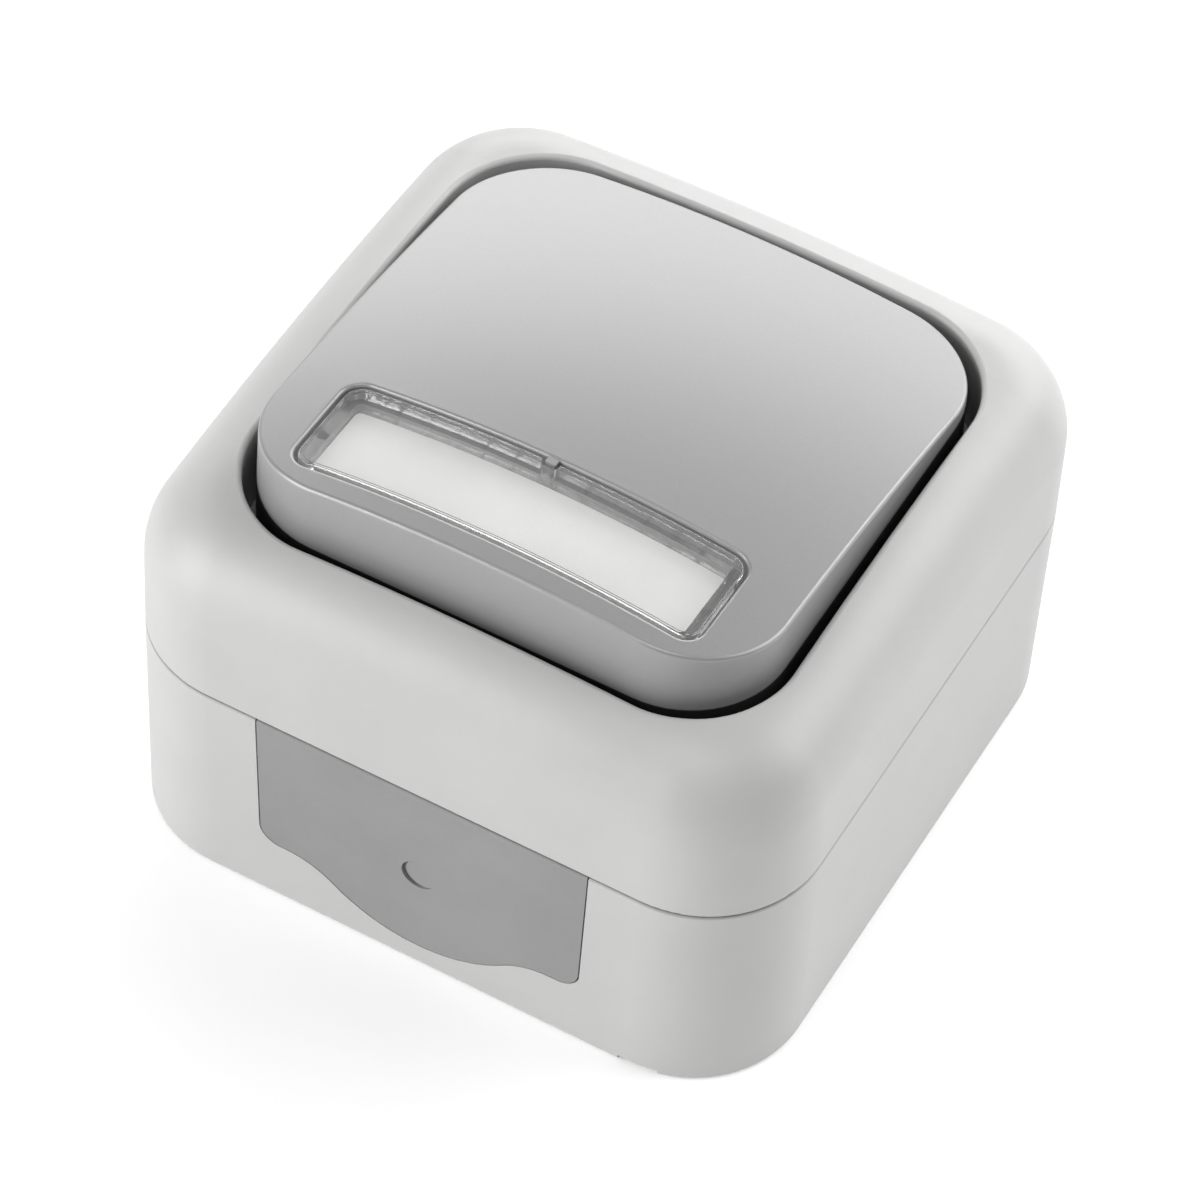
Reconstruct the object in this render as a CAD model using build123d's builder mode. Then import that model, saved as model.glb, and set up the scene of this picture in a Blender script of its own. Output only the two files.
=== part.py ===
from build123d import *
from math import cos, radians, sin, sqrt, tan
import os

# Surface-mounted weatherproof bell push: a square box for the wall with a domed cover, a wide
# sloping button with a name window, and the push contact that works under it.
# Millimetres. The back face lies on z = 0, +Z points out of the wall and +Y points up the wall.

# Back box and cover, outside
body_width = 72.0
body_height = 72.0
corner_radius = 12.3
joint_z = 26.2
seam_gap = 0.22
seam_round = 0.25
box_draft = 0.3
box_wall = 2.4
box_floor = 2.4
foot_round = 0.7
cover_draft = 0.5
cover_wall = 2.2
crown_radius = 320.0
dome_top = 46.6
shoulder_round = 8.8

# Tongue of the box, rebate of the cover, and the seal between them
tongue_thickness = 1.0
tongue_height = 2.2
rim_seal_height = 1.4
fit_gap = 0.1

# Inside of the back box
pillar_radius = 3.2
rib_thickness = 1.2
rib_height = 14.0
wall_screw_pitch = 50.0
wall_hole_radius = 3.0
wall_boss_radius = 5.0
wall_boss_height = 1.2
knockout_radius = 9.0
knockout_groove = 1.0
knockout_skin = 0.9
drain_x = 24.6
drain_width = 4.2
drain_height = 0.9
drain_depth = 1.4

# Button
button_size = 54.9
button_radius = 10.2
button_rise = 4.07
button_slope = 6.84
button_cross_radius = 152.0
button_long_radius = 284.0
button_draft = 1.5
button_edge_round = 0.4
button_skirt_wall = 1.6
button_top_wall = 1.8
button_gap = 1.38
skirt_lift = 4.4

# Well in the cover that the button works in
opening_radius = 11.0
opening_edge_round = 0.45
well_wall = 1.6
flange_thickness = 2.6
flange_land = 3.5
screw_inset = 5.9
screw_pad = 3.3

# Name window, its card and the pocket that both sit in
window_length = 43.3
window_width = 12.3
window_y = -18.45
window_radius = 2.2
window_rim_round = 0.3
pocket_depth = 2.8
pocket_floor = 1.2
lens_set_back = 0.12
lens_gap = 0.4
lens_plate = 1.2
card_length = 39.5
card_width = 9.0
card_shift = -0.25
card_gap = 0.1
card_thickness = 0.4
card_corner = 0.6
lens_round = 0.2
lens_rim = 0.5
lens_step = 0.15
lug_width = 1.15
lug_reach = 0.75
lug_round = 0.2

# Mechanism frame
frame_top_z = 31.0
frame_thickness = 2.4
frame_margin = 1.0
well_seal_height = 1.0
ear_thickness = 3.0
ear_radius = 4.2
ear_slot = 3.4
guide_length = 3.6
guide_wall = 1.8
clip_thickness = 1.5
clip_width = 5.6
clip_depth = 7.0
barb_height = 1.9
barb_reach = 1.0
clip_gap = 0.05
gasket_inset = 0.3
clear_gap = 0.2
edge_break = 0.4

# Pivot, travel and stops
pivot_height = 5.0
push_angle = 4.5
pin_radius = 2.0
running_gap = 0.06
touch_gap = 0.03
stop_radius = 1.8
front_stop_x = 12.0
back_stop_x = 8.0
back_stop_y = 14.0

# Actuator
plate_half_width = 16.4
plate_half_length = 16.8
plate_thickness = 2.5
plate_rise = 2.5
plate_corner = 4.0
cheek_thickness = 2.0
cheek_radius = 3.2
ear_gap = 0.5
pad_size = 6.4
pad_corner = 1.1
post_x = 11.0
post_front_y = -7.4
post_back_y = 11.4
post_radius = 1.9
post_height = 5.2
socket_radius = 3.2
socket_rib = 1.2

# Plunger, its boot and its spring
plunger_y = -13.0
stem_radius = 2.5
nose_radius = 1.5
neck_height = 0.8
neck_cut = 0.5
neck_drop = 2.0
collar_radius = 4.0
collar_height = 3.0
collar_drop = 13.6
spigot_radius = 1.8
spigot_height = 2.0
boot_radius = 5.8
boot_wall = 0.7
boot_foot = 1.4
boot_lip = 0.64
boot_fall = 1.0
spring_radius = 2.6
spring_wire = 0.3
spring_turns = 4.5

# Contacts
block_width = 34.0
block_length = 40.0
block_wall = 1.6
block_corner = 2.4
block_height = 18.6
contact_x = 8.0
strip_width = 4.0
strip_thickness = 0.8
strip_front = 2.4
bridge_length = 20.0
bridge_lift = 0.9
tip_radius = 1.4
tip_height = 0.8
clamp_size = 6.0
clamp_height = 7.0
terminal_screw_lift = 2.8
clamp_margin = 1.0
clamp_seat = 1.2
wire_hole_radius = 1.3
terminal_screw_radius = 1.1
terminal_head_radius = 2.1
terminal_head_height = 1.5
terminal_access_radius = 2.6

# Screws that hold the frame and the cover
thread_radius = 1.4
point_length = 2.1
pilot_gap = 0.1
head_radius = 2.8
head_height = 1.8
drive_length = 3.6
drive_width = 0.8
drive_depth = 1.0
frame_screw_x = 22.2
frame_screw_y = 8.0
screw_bite = 10.0

# Cable entry in the lower side wall
entry_half_width = 17.85
entry_spread = 0.35
entry_bottom = 2.9
entry_corner = 2.4
lobe_radius = 15.2
shelf_radius = 8.5
lobe_drop = 5.2
entry_gap = 0.15
entry_rib = 0.8
entry_lip = 1.4
entry_skin = 1.3
entry_border = 2.0
mark_z = 14.2
mark_radius = 1.85
mark_depth = 0.5
mark_shift = 0.5

# Values that follow from the ones above
inside_width = body_width - 2 * box_wall
inside_height = body_height - 2 * box_wall
inside_radius = corner_radius - box_wall
tongue_top = joint_z + tongue_height
rim_seal_top = tongue_top + rim_seal_height
cover_low_z = joint_z + seam_gap
opening_size = button_size + 2 * button_gap
frame_under_z = frame_top_z - frame_thickness
flange_z = frame_top_z + well_seal_height
flange_top = flange_z + flange_thickness
screw_at = opening_size / 2 - screw_inset
flange_inner = opening_size - 2 * flange_land
corner_share = 1 - 1 / sqrt(2)
flange_inner_radius = (flange_inner / 2 - screw_at + screw_pad / sqrt(2)) / corner_share
button_mid_z = dome_top + button_rise
skirt_z = flange_top + skirt_lift
skirt_size = button_size + 2 * (button_mid_z - skirt_z) * tan(radians(button_draft))
pivot_z = frame_top_z + pivot_height
plate_z = pivot_z + plate_rise
plate_top = plate_z + plate_thickness
cheek_out = plate_half_width
ear_in = cheek_out + ear_gap
ear_out = ear_in + ear_thickness
travel = -plunger_y * radians(push_angle)
nose_z = pivot_z - touch_gap
neck_z = nose_z - neck_drop
neck_radius = stem_radius - neck_cut
boot_bore = boot_radius - boot_foot
boot_lip_z = neck_z - (neck_height - boot_lip) / 2
collar_z = nose_z - collar_drop - collar_height
front_stop_y = stop_radius - plate_half_length
stop_sink = plate_half_length * sin(radians(push_angle)) + touch_gap
front_stop_z = pivot_z + plate_rise * cos(radians(push_angle)) - stop_sink
block_z = frame_under_z - block_height
block_floor_z = block_z + block_wall
clip_in = block_width / 2 + clip_gap
clip_z = frame_under_z - clip_depth
barb_top = clip_z + barb_height + fit_gap
bridge_z = collar_z + bridge_lift
moving_tip_z = bridge_z - tip_height
fixed_tip_top = moving_tip_z - travel - touch_gap
strip_top = fixed_tip_top - tip_height
strip_z = strip_top - strip_thickness
clamp_y = block_length / 2 - block_wall - clamp_margin - clamp_size / 2
terminal_screw_z = block_floor_z + terminal_screw_lift
terminal_head_y = clamp_y + clamp_size / 2 + touch_gap
terminal_screw_length = clamp_size / 2 - wire_hole_radius + terminal_screw_radius
rib_x = (inside_width + box_wall) / 2 - screw_at
rib_y = (inside_height + box_wall) / 2 - screw_at
lobe_centre_z = entry_bottom + lobe_radius
shelf_z = entry_bottom + lobe_drop
entry_reach = box_wall + 2 * entry_lip
rib_step = box_wall / 3
skirt_radius = button_radius + (button_mid_z - skirt_z) * tan(radians(button_draft))

# Sloping plane of the button's face: it falls towards +Y, and its height is at the middle.
# The face is crowned both ways. Across, it is round about an axis that lies deep below it.
slope_sin = sin(radians(button_slope))
slope_cos = cos(radians(button_slope))
button_plane = Plane((0, 0, button_mid_z), (1, 0, 0), (0, slope_sin, slope_cos))
crown_origin = button_plane.origin - button_plane.z_dir * button_cross_radius
crown_plane = Plane(crown_origin, button_plane.y_dir, (1, 0, 0))
crown_axis = Axis(crown_origin, button_plane.y_dir)
crown_half_length = button_size
slab_reach = 2 * pocket_depth + button_rise
window_shift = window_y / slope_cos
os.makedirs("parts", exist_ok=True)


# Outline of the cable entry. A wide flat shelf runs into a rounded lobe at the lowest point, and
# the sides spread a little towards the joint.
def entry_face(inset, level):
    reach = lobe_radius + shelf_radius
    shelf_x = sqrt(reach**2 - (lobe_centre_z - shelf_z + shelf_radius) ** 2)
    lobe_share = (lobe_radius - inset) / reach
    tangent_x = shelf_x * lobe_share
    tangent_z = lobe_centre_z - (lobe_centre_z - shelf_z + shelf_radius) * lobe_share
    side = entry_half_width - inset
    side_z = shelf_z + entry_corner
    top_side = side + entry_spread * (level - side_z) / (joint_z - side_z)
    with BuildSketch() as outline:
        with BuildLine():
            lobe = TangentArc((0, entry_bottom + inset), (tangent_x, tangent_z), tangent=(1, 0))
            shelf = TangentArc(lobe @ 1, (shelf_x, shelf_z + inset), tangent=lobe % 1)
            ledge = Line(shelf @ 1, (side - entry_corner + inset, shelf_z + inset))
            corner = TangentArc(ledge @ 1, (side, side_z), tangent=(1, 0))
            edge = Line(corner @ 1, (top_side, level))
            Line(edge @ 1, (0, level))
            mirror(about=Plane.YZ)
        make_face()
    return outline.sketch


# Plan of the tongue, made larger all round by a gap.
def tongue_plan(gap):
    grow = 2 * (tongue_thickness + gap)
    RectangleRounded(
        inside_width + grow, inside_height + grow, inside_radius + tongue_thickness + gap
    )


# Plan of the well, made larger in all by a width.
def well_plan(growth):
    side = opening_size + growth
    RectangleRounded(side, side, opening_radius + growth / 2)


# Hole of the cover's flange: its corners are cut back to leave the screw pads.
def flange_hole(mode=Mode.ADD):
    RectangleRounded(flange_inner, flange_inner, flange_inner_radius, mode=mode)


# Plan of the mechanism frame, made smaller all round by an inset.
def frame_plan(inset):
    side = opening_size + 2 * (well_wall - frame_margin - inset)
    RectangleRounded(side, side, opening_radius + well_wall - frame_margin - inset)


# Room inside the box, from its floor to the top of the tongue.
def box_room():
    with BuildPart() as room:
        with BuildSketch(Plane.XY.offset(joint_z)):
            RectangleRounded(inside_width, inside_height, inside_radius)
        extrude(amount=box_floor - joint_z, taper=box_draft)
        with BuildSketch(Plane.XY.offset(joint_z)):
            RectangleRounded(inside_width, inside_height, inside_radius)
        extrude(amount=tongue_height)
    return room.part


# Drafted wall of the box with its tongue: the box and the cable entry seal are both cut from it.
def box_shell(room):
    with BuildPart() as form:
        with BuildSketch(Plane.XY.offset(joint_z)):
            RectangleRounded(body_width, body_height, corner_radius)
        extrude(amount=-joint_z, taper=box_draft)
        fillet(form.faces().sort_by(Axis.Z)[0].edges(), foot_round)
        fillet(form.faces().sort_by(Axis.Z)[-1].edges(), seam_round)
        with BuildSketch(Plane.XY.offset(joint_z)):
            tongue_plan(0)
        extrude(amount=tongue_height)
        add(room, mode=Mode.SUBTRACT)
    return form.part


# Domed block with rounded shoulders. The inset makes the same form smaller for the cavity.
def dome_form(inset):
    with BuildPart() as form:
        with BuildSketch(Plane.XY.offset(cover_low_z)):
            RectangleRounded(
                body_width - 2 * inset, body_height - 2 * inset, corner_radius - inset
            )
        extrude(amount=dome_top - cover_low_z, taper=cover_draft)
        with Locations((0, 0, dome_top - crown_radius)):
            Sphere(crown_radius - inset, mode=Mode.INTERSECT)
        fillet(form.faces().sort_by(Axis.Z)[-1].edges(), shoulder_round - inset)
    return form.part


# Barrel that the button's face is cut from, or the same form at a depth below the face. It is
# turned about the crown's axis, and its arc along the slope has the long radius.
def crown_barrel(depth):
    sag = button_long_radius - sqrt(button_long_radius**2 - crown_half_length**2)
    top = button_cross_radius - depth
    with BuildPart() as barrel:
        with BuildSketch(crown_plane):
            with BuildLine():
                crown = ThreePointArc(
                    (-crown_half_length, sag - top), (0, -top), (crown_half_length, sag - top)
                )
                Polyline(crown @ 1, (crown_half_length, 0), (-crown_half_length, 0), crown @ 0)
            make_face()
        revolve(axis=crown_axis)
    return barrel.part


# Whether a face looks along the button's push face.
def faces_up(face):
    return face.normal_at(face.center()).dot(button_plane.z_dir) > slope_cos


# Rounded plate that follows the crown of the button's face, between two depths below it.
def crowned_slab(length, width, radius, centre_y, upper_depth, lower_depth):
    with BuildPart() as slab:
        with BuildSketch(button_plane.offset(-slab_reach)):
            with Locations((0, centre_y)):
                RectangleRounded(length, width, radius)
        extrude(amount=2 * slab_reach)
        add(crown_barrel(upper_depth), mode=Mode.INTERSECT)
        add(crown_barrel(lower_depth), mode=Mode.SUBTRACT)
    return slab.part


# Tapered block under the crowned face. The insets make the same form smaller for the cavity.
def button_form(side_inset, top_inset):
    side = skirt_size - 2 * side_inset
    with BuildPart() as form:
        with BuildSketch(Plane.XY.offset(skirt_z)):
            RectangleRounded(side, side, skirt_radius - side_inset)
        extrude(amount=2 * (button_mid_z - skirt_z), taper=button_draft)
        add(crown_barrel(top_inset), mode=Mode.INTERSECT)
    return form.part


# Pan-head screw with its shank down, a cross drive and a short point.
def pan_screw(length):
    with BuildPart() as screw:
        with BuildSketch(Plane.XZ):
            with BuildLine():
                shank = Polyline(
                    (0, -length),
                    (thread_radius, -length + point_length),
                    (thread_radius, 0),
                    (head_radius, 0),
                    (head_radius, head_height / 2),
                )
                TangentArc((0, head_height), shank @ 1, tangent=(1, 0))
                Line((0, head_height), shank @ 0)
            make_face()
        revolve(axis=Axis.Z)
        with BuildSketch(Plane.XY.offset(head_height)):
            Rectangle(drive_length, drive_width)
            Rectangle(drive_width, drive_length)
        extrude(amount=-drive_depth, mode=Mode.SUBTRACT)
    return screw.part


# Slotted screw that points down the wall into a terminal clamp.
def terminal_screw(centre_x):
    seat = Plane((centre_x, terminal_head_y, terminal_screw_z), (1, 0, 0), (0, 1, 0))
    with BuildPart() as screw:
        with BuildSketch(seat):
            Circle(terminal_head_radius)
        extrude(amount=terminal_head_height)
        chamfer(screw.faces().sort_by(Axis.Y)[-1].edges(), edge_break)
        with BuildSketch(seat):
            Circle(terminal_screw_radius)
        extrude(amount=-terminal_screw_length)
        with BuildSketch(seat.offset(terminal_head_height)):
            Rectangle(2 * terminal_head_radius, drive_width / 2)
        extrude(amount=-terminal_head_height / 2, mode=Mode.SUBTRACT)
    return screw.part


# Brass pillar clamp: the wire comes in from the wall side, and the strip's end sits in its front.
def terminal_clamp(centre_x):
    with BuildPart() as clamp:
        with BuildSketch(Plane.XY.offset(block_floor_z)):
            with Locations((centre_x, clamp_y)):
                Rectangle(clamp_size, clamp_size)
        extrude(amount=clamp_height)
        chamfer(clamp.faces().sort_by(Axis.Z)[-1].edges(), edge_break)
        with Locations((centre_x, clamp_y, block_floor_z + clamp_height)):
            Hole(wire_hole_radius)
        with BuildSketch(Plane((centre_x, terminal_head_y, terminal_screw_z), (1, 0, 0), (0, 1, 0))):
            Circle(terminal_screw_radius + running_gap)
        extrude(amount=-terminal_head_y + clamp_y, mode=Mode.SUBTRACT)
        with BuildSketch(Plane.XY.offset(strip_z)):
            with Locations((centre_x, clamp_y - clamp_size / 2)):
                Rectangle(strip_width, 2 * clamp_seat)
        extrude(amount=strip_thickness, mode=Mode.SUBTRACT)
    return clamp.part


# Flat brass strip from a terminal clamp to the place under the bridge, with a rounded front end.
def contact_strip(centre_x):
    back_y = clamp_y - clamp_size / 2 + clamp_seat
    front_y = plunger_y - strip_front
    with BuildPart() as strip:
        with BuildSketch(Plane.XY.offset(strip_z)):
            with Locations((centre_x, (front_y + back_y) / 2)):
                Rectangle(strip_width, back_y - front_y)
        extrude(amount=strip_thickness)
        front = strip.edges().filter_by(Axis.Z).group_by(Axis.Y)[0]
        fillet(front, strip_width / 4)
    return strip.part


corner_points = [(x, y) for x in (-screw_at, screw_at) for y in (-screw_at, screw_at)]
frame_screw_points = [(-frame_screw_x, frame_screw_y), (frame_screw_x, -frame_screw_y)]
post_points = [(x, y) for x in (-post_x, post_x) for y in (post_front_y, post_back_y)]

room = box_room()
shell = box_shell(room)

# Back box: drafted shell with a floor, four cover pillars on ribs, two frame posts, two
# wall-screw bosses, a rear knock-out and the cut-out for the cable entry seal.
with BuildPart() as back_box:
    add(shell)
    with BuildSketch(Plane.XY.offset(box_floor)):
        with Locations(*corner_points, *frame_screw_points):
            Circle(pillar_radius)
    extrude(amount=frame_under_z - box_floor)
    with BuildSketch(Plane.XY.offset(box_floor)):
        for x_side in (-1, 1):
            for y_side in (-1, 1):
                with Locations((x_side * (screw_at + rib_x / 2), y_side * screw_at)):
                    Rectangle(rib_x, rib_thickness)
                with Locations((x_side * screw_at, y_side * (screw_at + rib_y / 2))):
                    Rectangle(rib_thickness, rib_y)
    extrude(amount=rib_height)
    with BuildSketch(Plane.XY.offset(box_floor)):
        with GridLocations(0, wall_screw_pitch, 1, 2):
            Circle(wall_boss_radius)
    extrude(amount=wall_boss_height)
    with BuildSketch():
        with GridLocations(0, wall_screw_pitch, 1, 2):
            Circle(wall_hole_radius)
    extrude(amount=box_floor + wall_boss_height, mode=Mode.SUBTRACT)
    with BuildSketch(Plane.XY.offset(knockout_skin)):
        Circle(knockout_radius)
        Circle(knockout_radius - knockout_groove, mode=Mode.SUBTRACT)
    extrude(amount=box_floor, mode=Mode.SUBTRACT)
    with Locations(*[(x, y, frame_under_z) for x, y in corner_points + frame_screw_points]):
        Hole(thread_radius + pilot_gap, screw_bite + pilot_gap)
    with BuildSketch():
        with Locations((drain_x, -body_height / 2)):
            Rectangle(drain_width, 2 * drain_depth)
    extrude(amount=drain_height, mode=Mode.SUBTRACT)
    with BuildSketch(Plane.XZ.offset(body_height / 2 - entry_reach)):
        add(entry_face(0, tongue_top + fit_gap))
    extrude(amount=2 * entry_reach, mode=Mode.SUBTRACT)
    with BuildSketch(Plane.XZ.offset(body_height / 2 - 2 * rib_step)):
        add(entry_face(0, joint_z))
        add(entry_face(entry_rib, joint_z), mode=Mode.SUBTRACT)
    extrude(amount=rib_step)
back_box.part.label = "back_box"
export_step(back_box.part, "parts/back_box.step")

# Inner lip of the seal, trimmed to the room inside the box.
with BuildPart() as seal_lip:
    with BuildSketch(Plane.XZ.offset(body_height / 2 - box_wall - entry_lip)):
        add(entry_face(-entry_lip, joint_z))
    extrude(amount=2 * entry_lip)
    add(room, mode=Mode.INTERSECT)

# Cable entry seal: soft plug that drops into the cut-out before the cover goes on. It is flush
# outside, grips the rib of the cut-out in a groove, and carries the tongue across the gap.
with BuildPart() as cable_entry_seal:
    with BuildSketch(Plane.XZ.offset(body_height / 2 - entry_reach)):
        add(entry_face(entry_gap, tongue_top))
    extrude(amount=2 * entry_reach)
    add(shell, mode=Mode.INTERSECT)
    with BuildSketch(Plane.XZ.offset(body_height / 2 - 2 * rib_step - entry_gap)):
        add(entry_face(0, joint_z))
        add(entry_face(entry_rib + entry_gap, joint_z), mode=Mode.SUBTRACT)
    extrude(amount=rib_step + 2 * entry_gap, mode=Mode.SUBTRACT)
    add(seal_lip.part)
    with BuildSketch(Plane.XZ.offset(body_height / 2 - entry_reach)):
        add(entry_face(entry_border, joint_z - entry_border))
    extrude(amount=entry_reach - entry_skin, mode=Mode.SUBTRACT)
    with BuildSketch(Plane.XZ.offset(body_height / 2 - mark_depth)):
        with Locations((0, mark_z)):
            Circle(mark_radius)
        with Locations((mark_shift, mark_z + mark_shift)):
            Circle(mark_radius, mode=Mode.SUBTRACT)
    extrude(amount=entry_reach, mode=Mode.SUBTRACT)
cable_entry_seal.part.label = "cable_entry_seal"
export_step(cable_entry_seal.part, "parts/cable_entry_seal.step")

# Rim gasket: flat cord in the cover's rebate, on top of the tongue.
with BuildPart() as rim_gasket:
    with BuildSketch(Plane.XY.offset(tongue_top)):
        tongue_plan(0)
        RectangleRounded(inside_width, inside_height, inside_radius, mode=Mode.SUBTRACT)
    extrude(amount=rim_seal_height)
rim_gasket.part.label = "rim_gasket"
export_step(rim_gasket.part, "parts/rim_gasket.step")

# Room under the cover: the dome's own form made smaller, the rebate for the tongue, and the
# well's sleeve left standing in the middle.
inner_dome = dome_form(cover_wall)
with BuildPart() as cover_room:
    add(inner_dome)
    with BuildSketch(Plane.XY.offset(flange_z)):
        well_plan(2 * well_wall)
    extrude(amount=dome_top - flange_z, mode=Mode.SUBTRACT)
    with BuildSketch(Plane.XY.offset(cover_low_z)):
        tongue_plan(fit_gap)
    extrude(amount=rim_seal_top - cover_low_z)

# Front cover: domed frame with rolled edges, and a square well that ends in a flange with four
# screw pads.
outer_dome = dome_form(0)
with BuildPart() as front_cover:
    add(outer_dome)
    fillet(front_cover.faces().sort_by(Axis.Z)[0].edges(), seam_round)
    with BuildSketch(Plane.XY.offset(flange_top)):
        well_plan(0)
    extrude(amount=dome_top - flange_top, mode=Mode.SUBTRACT)
    cut_edges = front_cover.edges(Select.LAST)
    rim_edges = cut_edges.filter_by_position(Axis.Z, (flange_top + dome_top) / 2, dome_top)
    fillet(rim_edges, opening_edge_round)
    add(cover_room.part, mode=Mode.SUBTRACT)
    with BuildSketch(Plane.XY.offset(flange_z)):
        flange_hole()
    extrude(amount=flange_thickness, mode=Mode.SUBTRACT)
    with Locations(*[(x, y, flange_top) for x, y in corner_points]):
        Hole(thread_radius + clear_gap)
front_cover.part.label = "front_cover"
export_step(front_cover.part, "parts/front_cover.step")

# Cover screws: four, down through flange, gasket and frame into the pillars.
screw = pan_screw(flange_top - frame_under_z + screw_bite)
with BuildPart() as cover_screws:
    for x, y in corner_points:
        add(screw.moved(Location((x, y, flange_top))))
cover_screws.part.label = "cover_screws"
export_step(cover_screws.part, "parts/cover_screws.step")

# Well gasket: flat seal between the cover's flange and the mechanism frame.
with BuildPart() as well_gasket:
    with BuildSketch(Plane.XY.offset(frame_top_z)):
        frame_plan(gasket_inset)
        flange_hole(Mode.SUBTRACT)
        with Locations(*corner_points):
            Circle(thread_radius + clear_gap, mode=Mode.SUBTRACT)
    extrude(amount=well_seal_height)
well_gasket.part.label = "well_gasket"
export_step(well_gasket.part, "parts/well_gasket.step")

# Mechanism frame: plate that closes the box, with two open pivot bearings, the stops, the
# plunger's guide, a seat for the boot and two clips that carry the contact block.
with BuildPart() as mechanism_frame:
    with BuildSketch(Plane.XY.offset(frame_under_z)):
        frame_plan(0)
    extrude(amount=frame_thickness)
    with BuildSketch(Plane.XY.offset(frame_under_z)):
        with Locations((0, plunger_y)):
            Circle(stem_radius + running_gap + guide_wall)
    extrude(amount=-guide_length)
    with BuildSketch(Plane.XY.offset(frame_top_z)):
        with Locations((0, plunger_y)):
            Circle(boot_bore - fit_gap)
    extrude(amount=boot_wall)
    with Locations((0, plunger_y, frame_top_z + boot_wall)):
        Hole(stem_radius + running_gap)
    with BuildSketch(Plane.XY.offset(frame_top_z)):
        with Locations((-front_stop_x, front_stop_y), (front_stop_x, front_stop_y)):
            Circle(stop_radius)
    extrude(amount=front_stop_z - frame_top_z)
    with BuildSketch(Plane.XY.offset(frame_top_z)):
        with Locations((-back_stop_x, back_stop_y), (back_stop_x, back_stop_y)):
            Circle(stop_radius)
    extrude(amount=plate_z - touch_gap - frame_top_z)
    for side in (-1, 1):
        with BuildSketch(Plane.YZ.offset(side * ear_in)):
            with Locations((0, pivot_z)):
                Circle(ear_radius)
            with Locations((0, frame_top_z)):
                Rectangle(2 * ear_radius, pivot_height, align=(Align.CENTER, Align.MIN))
            with Locations((0, pivot_z)):
                Circle(pin_radius + running_gap, mode=Mode.SUBTRACT)
                Rectangle(
                    ear_slot, 2 * ear_radius, align=(Align.CENTER, Align.MIN), mode=Mode.SUBTRACT
                )
        extrude(amount=side * ear_thickness)
        with BuildSketch(Plane.XZ):
            with BuildLine():
                Polyline(
                    (side * (clip_in + clip_thickness), frame_under_z),
                    (side * (clip_in + clip_thickness), clip_z),
                    (side * clip_in, clip_z),
                    (side * (clip_in - barb_reach), barb_top - barb_height / 2),
                    (side * (clip_in - barb_reach), barb_top),
                    (side * clip_in, barb_top),
                    (side * clip_in, frame_under_z),
                    close=True,
                )
            make_face()
        extrude(amount=clip_width / 2, both=True)
    with Locations(*[(x, y, frame_top_z) for x, y in corner_points + frame_screw_points]):
        Hole(thread_radius + clear_gap)
mechanism_frame.part.label = "mechanism_frame"
export_step(mechanism_frame.part, "parts/mechanism_frame.step")

# Frame screws: two, into the posts of the box.
screw = pan_screw(frame_thickness + screw_bite)
with BuildPart() as frame_screws:
    for x, y in frame_screw_points:
        add(screw.moved(Location((x, y, frame_top_z))))
frame_screws.part.label = "frame_screws"
export_step(frame_screws.part, "parts/frame_screws.step")

# Contact block: open moulded tray under the frame. The clips hold its two side windows.
with BuildPart() as contact_block:
    with BuildSketch(Plane.XY.offset(block_z)):
        RectangleRounded(block_width, block_length, block_corner)
    extrude(amount=block_height)
    with BuildSketch(Plane.XY.offset(block_floor_z)):
        RectangleRounded(
            block_width - 2 * block_wall, block_length - 2 * block_wall, block_corner - block_wall
        )
    extrude(amount=block_height, mode=Mode.SUBTRACT)
    with BuildSketch(Plane.XY.offset(block_floor_z)):
        with Locations(*[(x, y) for x in (-contact_x, contact_x) for y in (plunger_y, 0)]):
            Rectangle(strip_width, strip_width)
    extrude(amount=strip_z - block_floor_z)
    with BuildSketch(Plane.XY.offset(block_floor_z)):
        with Locations((0, plunger_y)):
            Circle(spigot_radius)
    extrude(amount=spigot_height)
    with BuildSketch(Plane.XY.offset(block_floor_z)):
        with Locations((0, clamp_y)):
            Rectangle(2 * contact_x - clamp_size - 2 * fit_gap, block_wall)
    extrude(amount=clamp_height)
    with BuildSketch(Plane.YZ):
        with Locations((0, clip_z)):
            Rectangle(
                clip_width + 2 * fit_gap, barb_top + fit_gap - clip_z, align=(Align.CENTER, Align.MIN)
            )
    extrude(amount=block_width, both=True, mode=Mode.SUBTRACT)
    with BuildSketch(Plane.XZ.offset(-block_length / 2)):
        with Locations((-contact_x, terminal_screw_z), (contact_x, terminal_screw_z)):
            Circle(terminal_access_radius)
    extrude(amount=block_wall, mode=Mode.SUBTRACT)
    with Locations((-contact_x, clamp_y, block_floor_z), (contact_x, clamp_y, block_floor_z)):
        Hole(wire_hole_radius + fit_gap)
contact_block.part.label = "contact_block"
export_step(contact_block.part, "parts/contact_block.step")

# Terminals, fixed strips and terminal screws, left and right.
for side_name, x in (("left", -contact_x), ("right", contact_x)):
    pieces = {
        "terminal_clamp": terminal_clamp(x),
        "terminal_screw": terminal_screw(x),
        "fixed_contact": contact_strip(x),
    }
    for piece_name, piece in pieces.items():
        piece.label = f"{piece_name}_{side_name}"
        export_step(piece, f"parts/{piece.label}.step")

# Fixed contact tips: rivet heads on the strips.
with BuildPart() as fixed_contact_tips:
    with BuildSketch(Plane.XY.offset(strip_top)):
        with Locations((-contact_x, plunger_y), (contact_x, plunger_y)):
            Circle(tip_radius)
    extrude(amount=tip_height)
    chamfer(fixed_contact_tips.faces().group_by(Axis.Z)[-1].edges(), tip_height / 3)
fixed_contact_tips.part.label = "fixed_contact_tips"
export_step(fixed_contact_tips.part, "parts/fixed_contact_tips.step")

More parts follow.
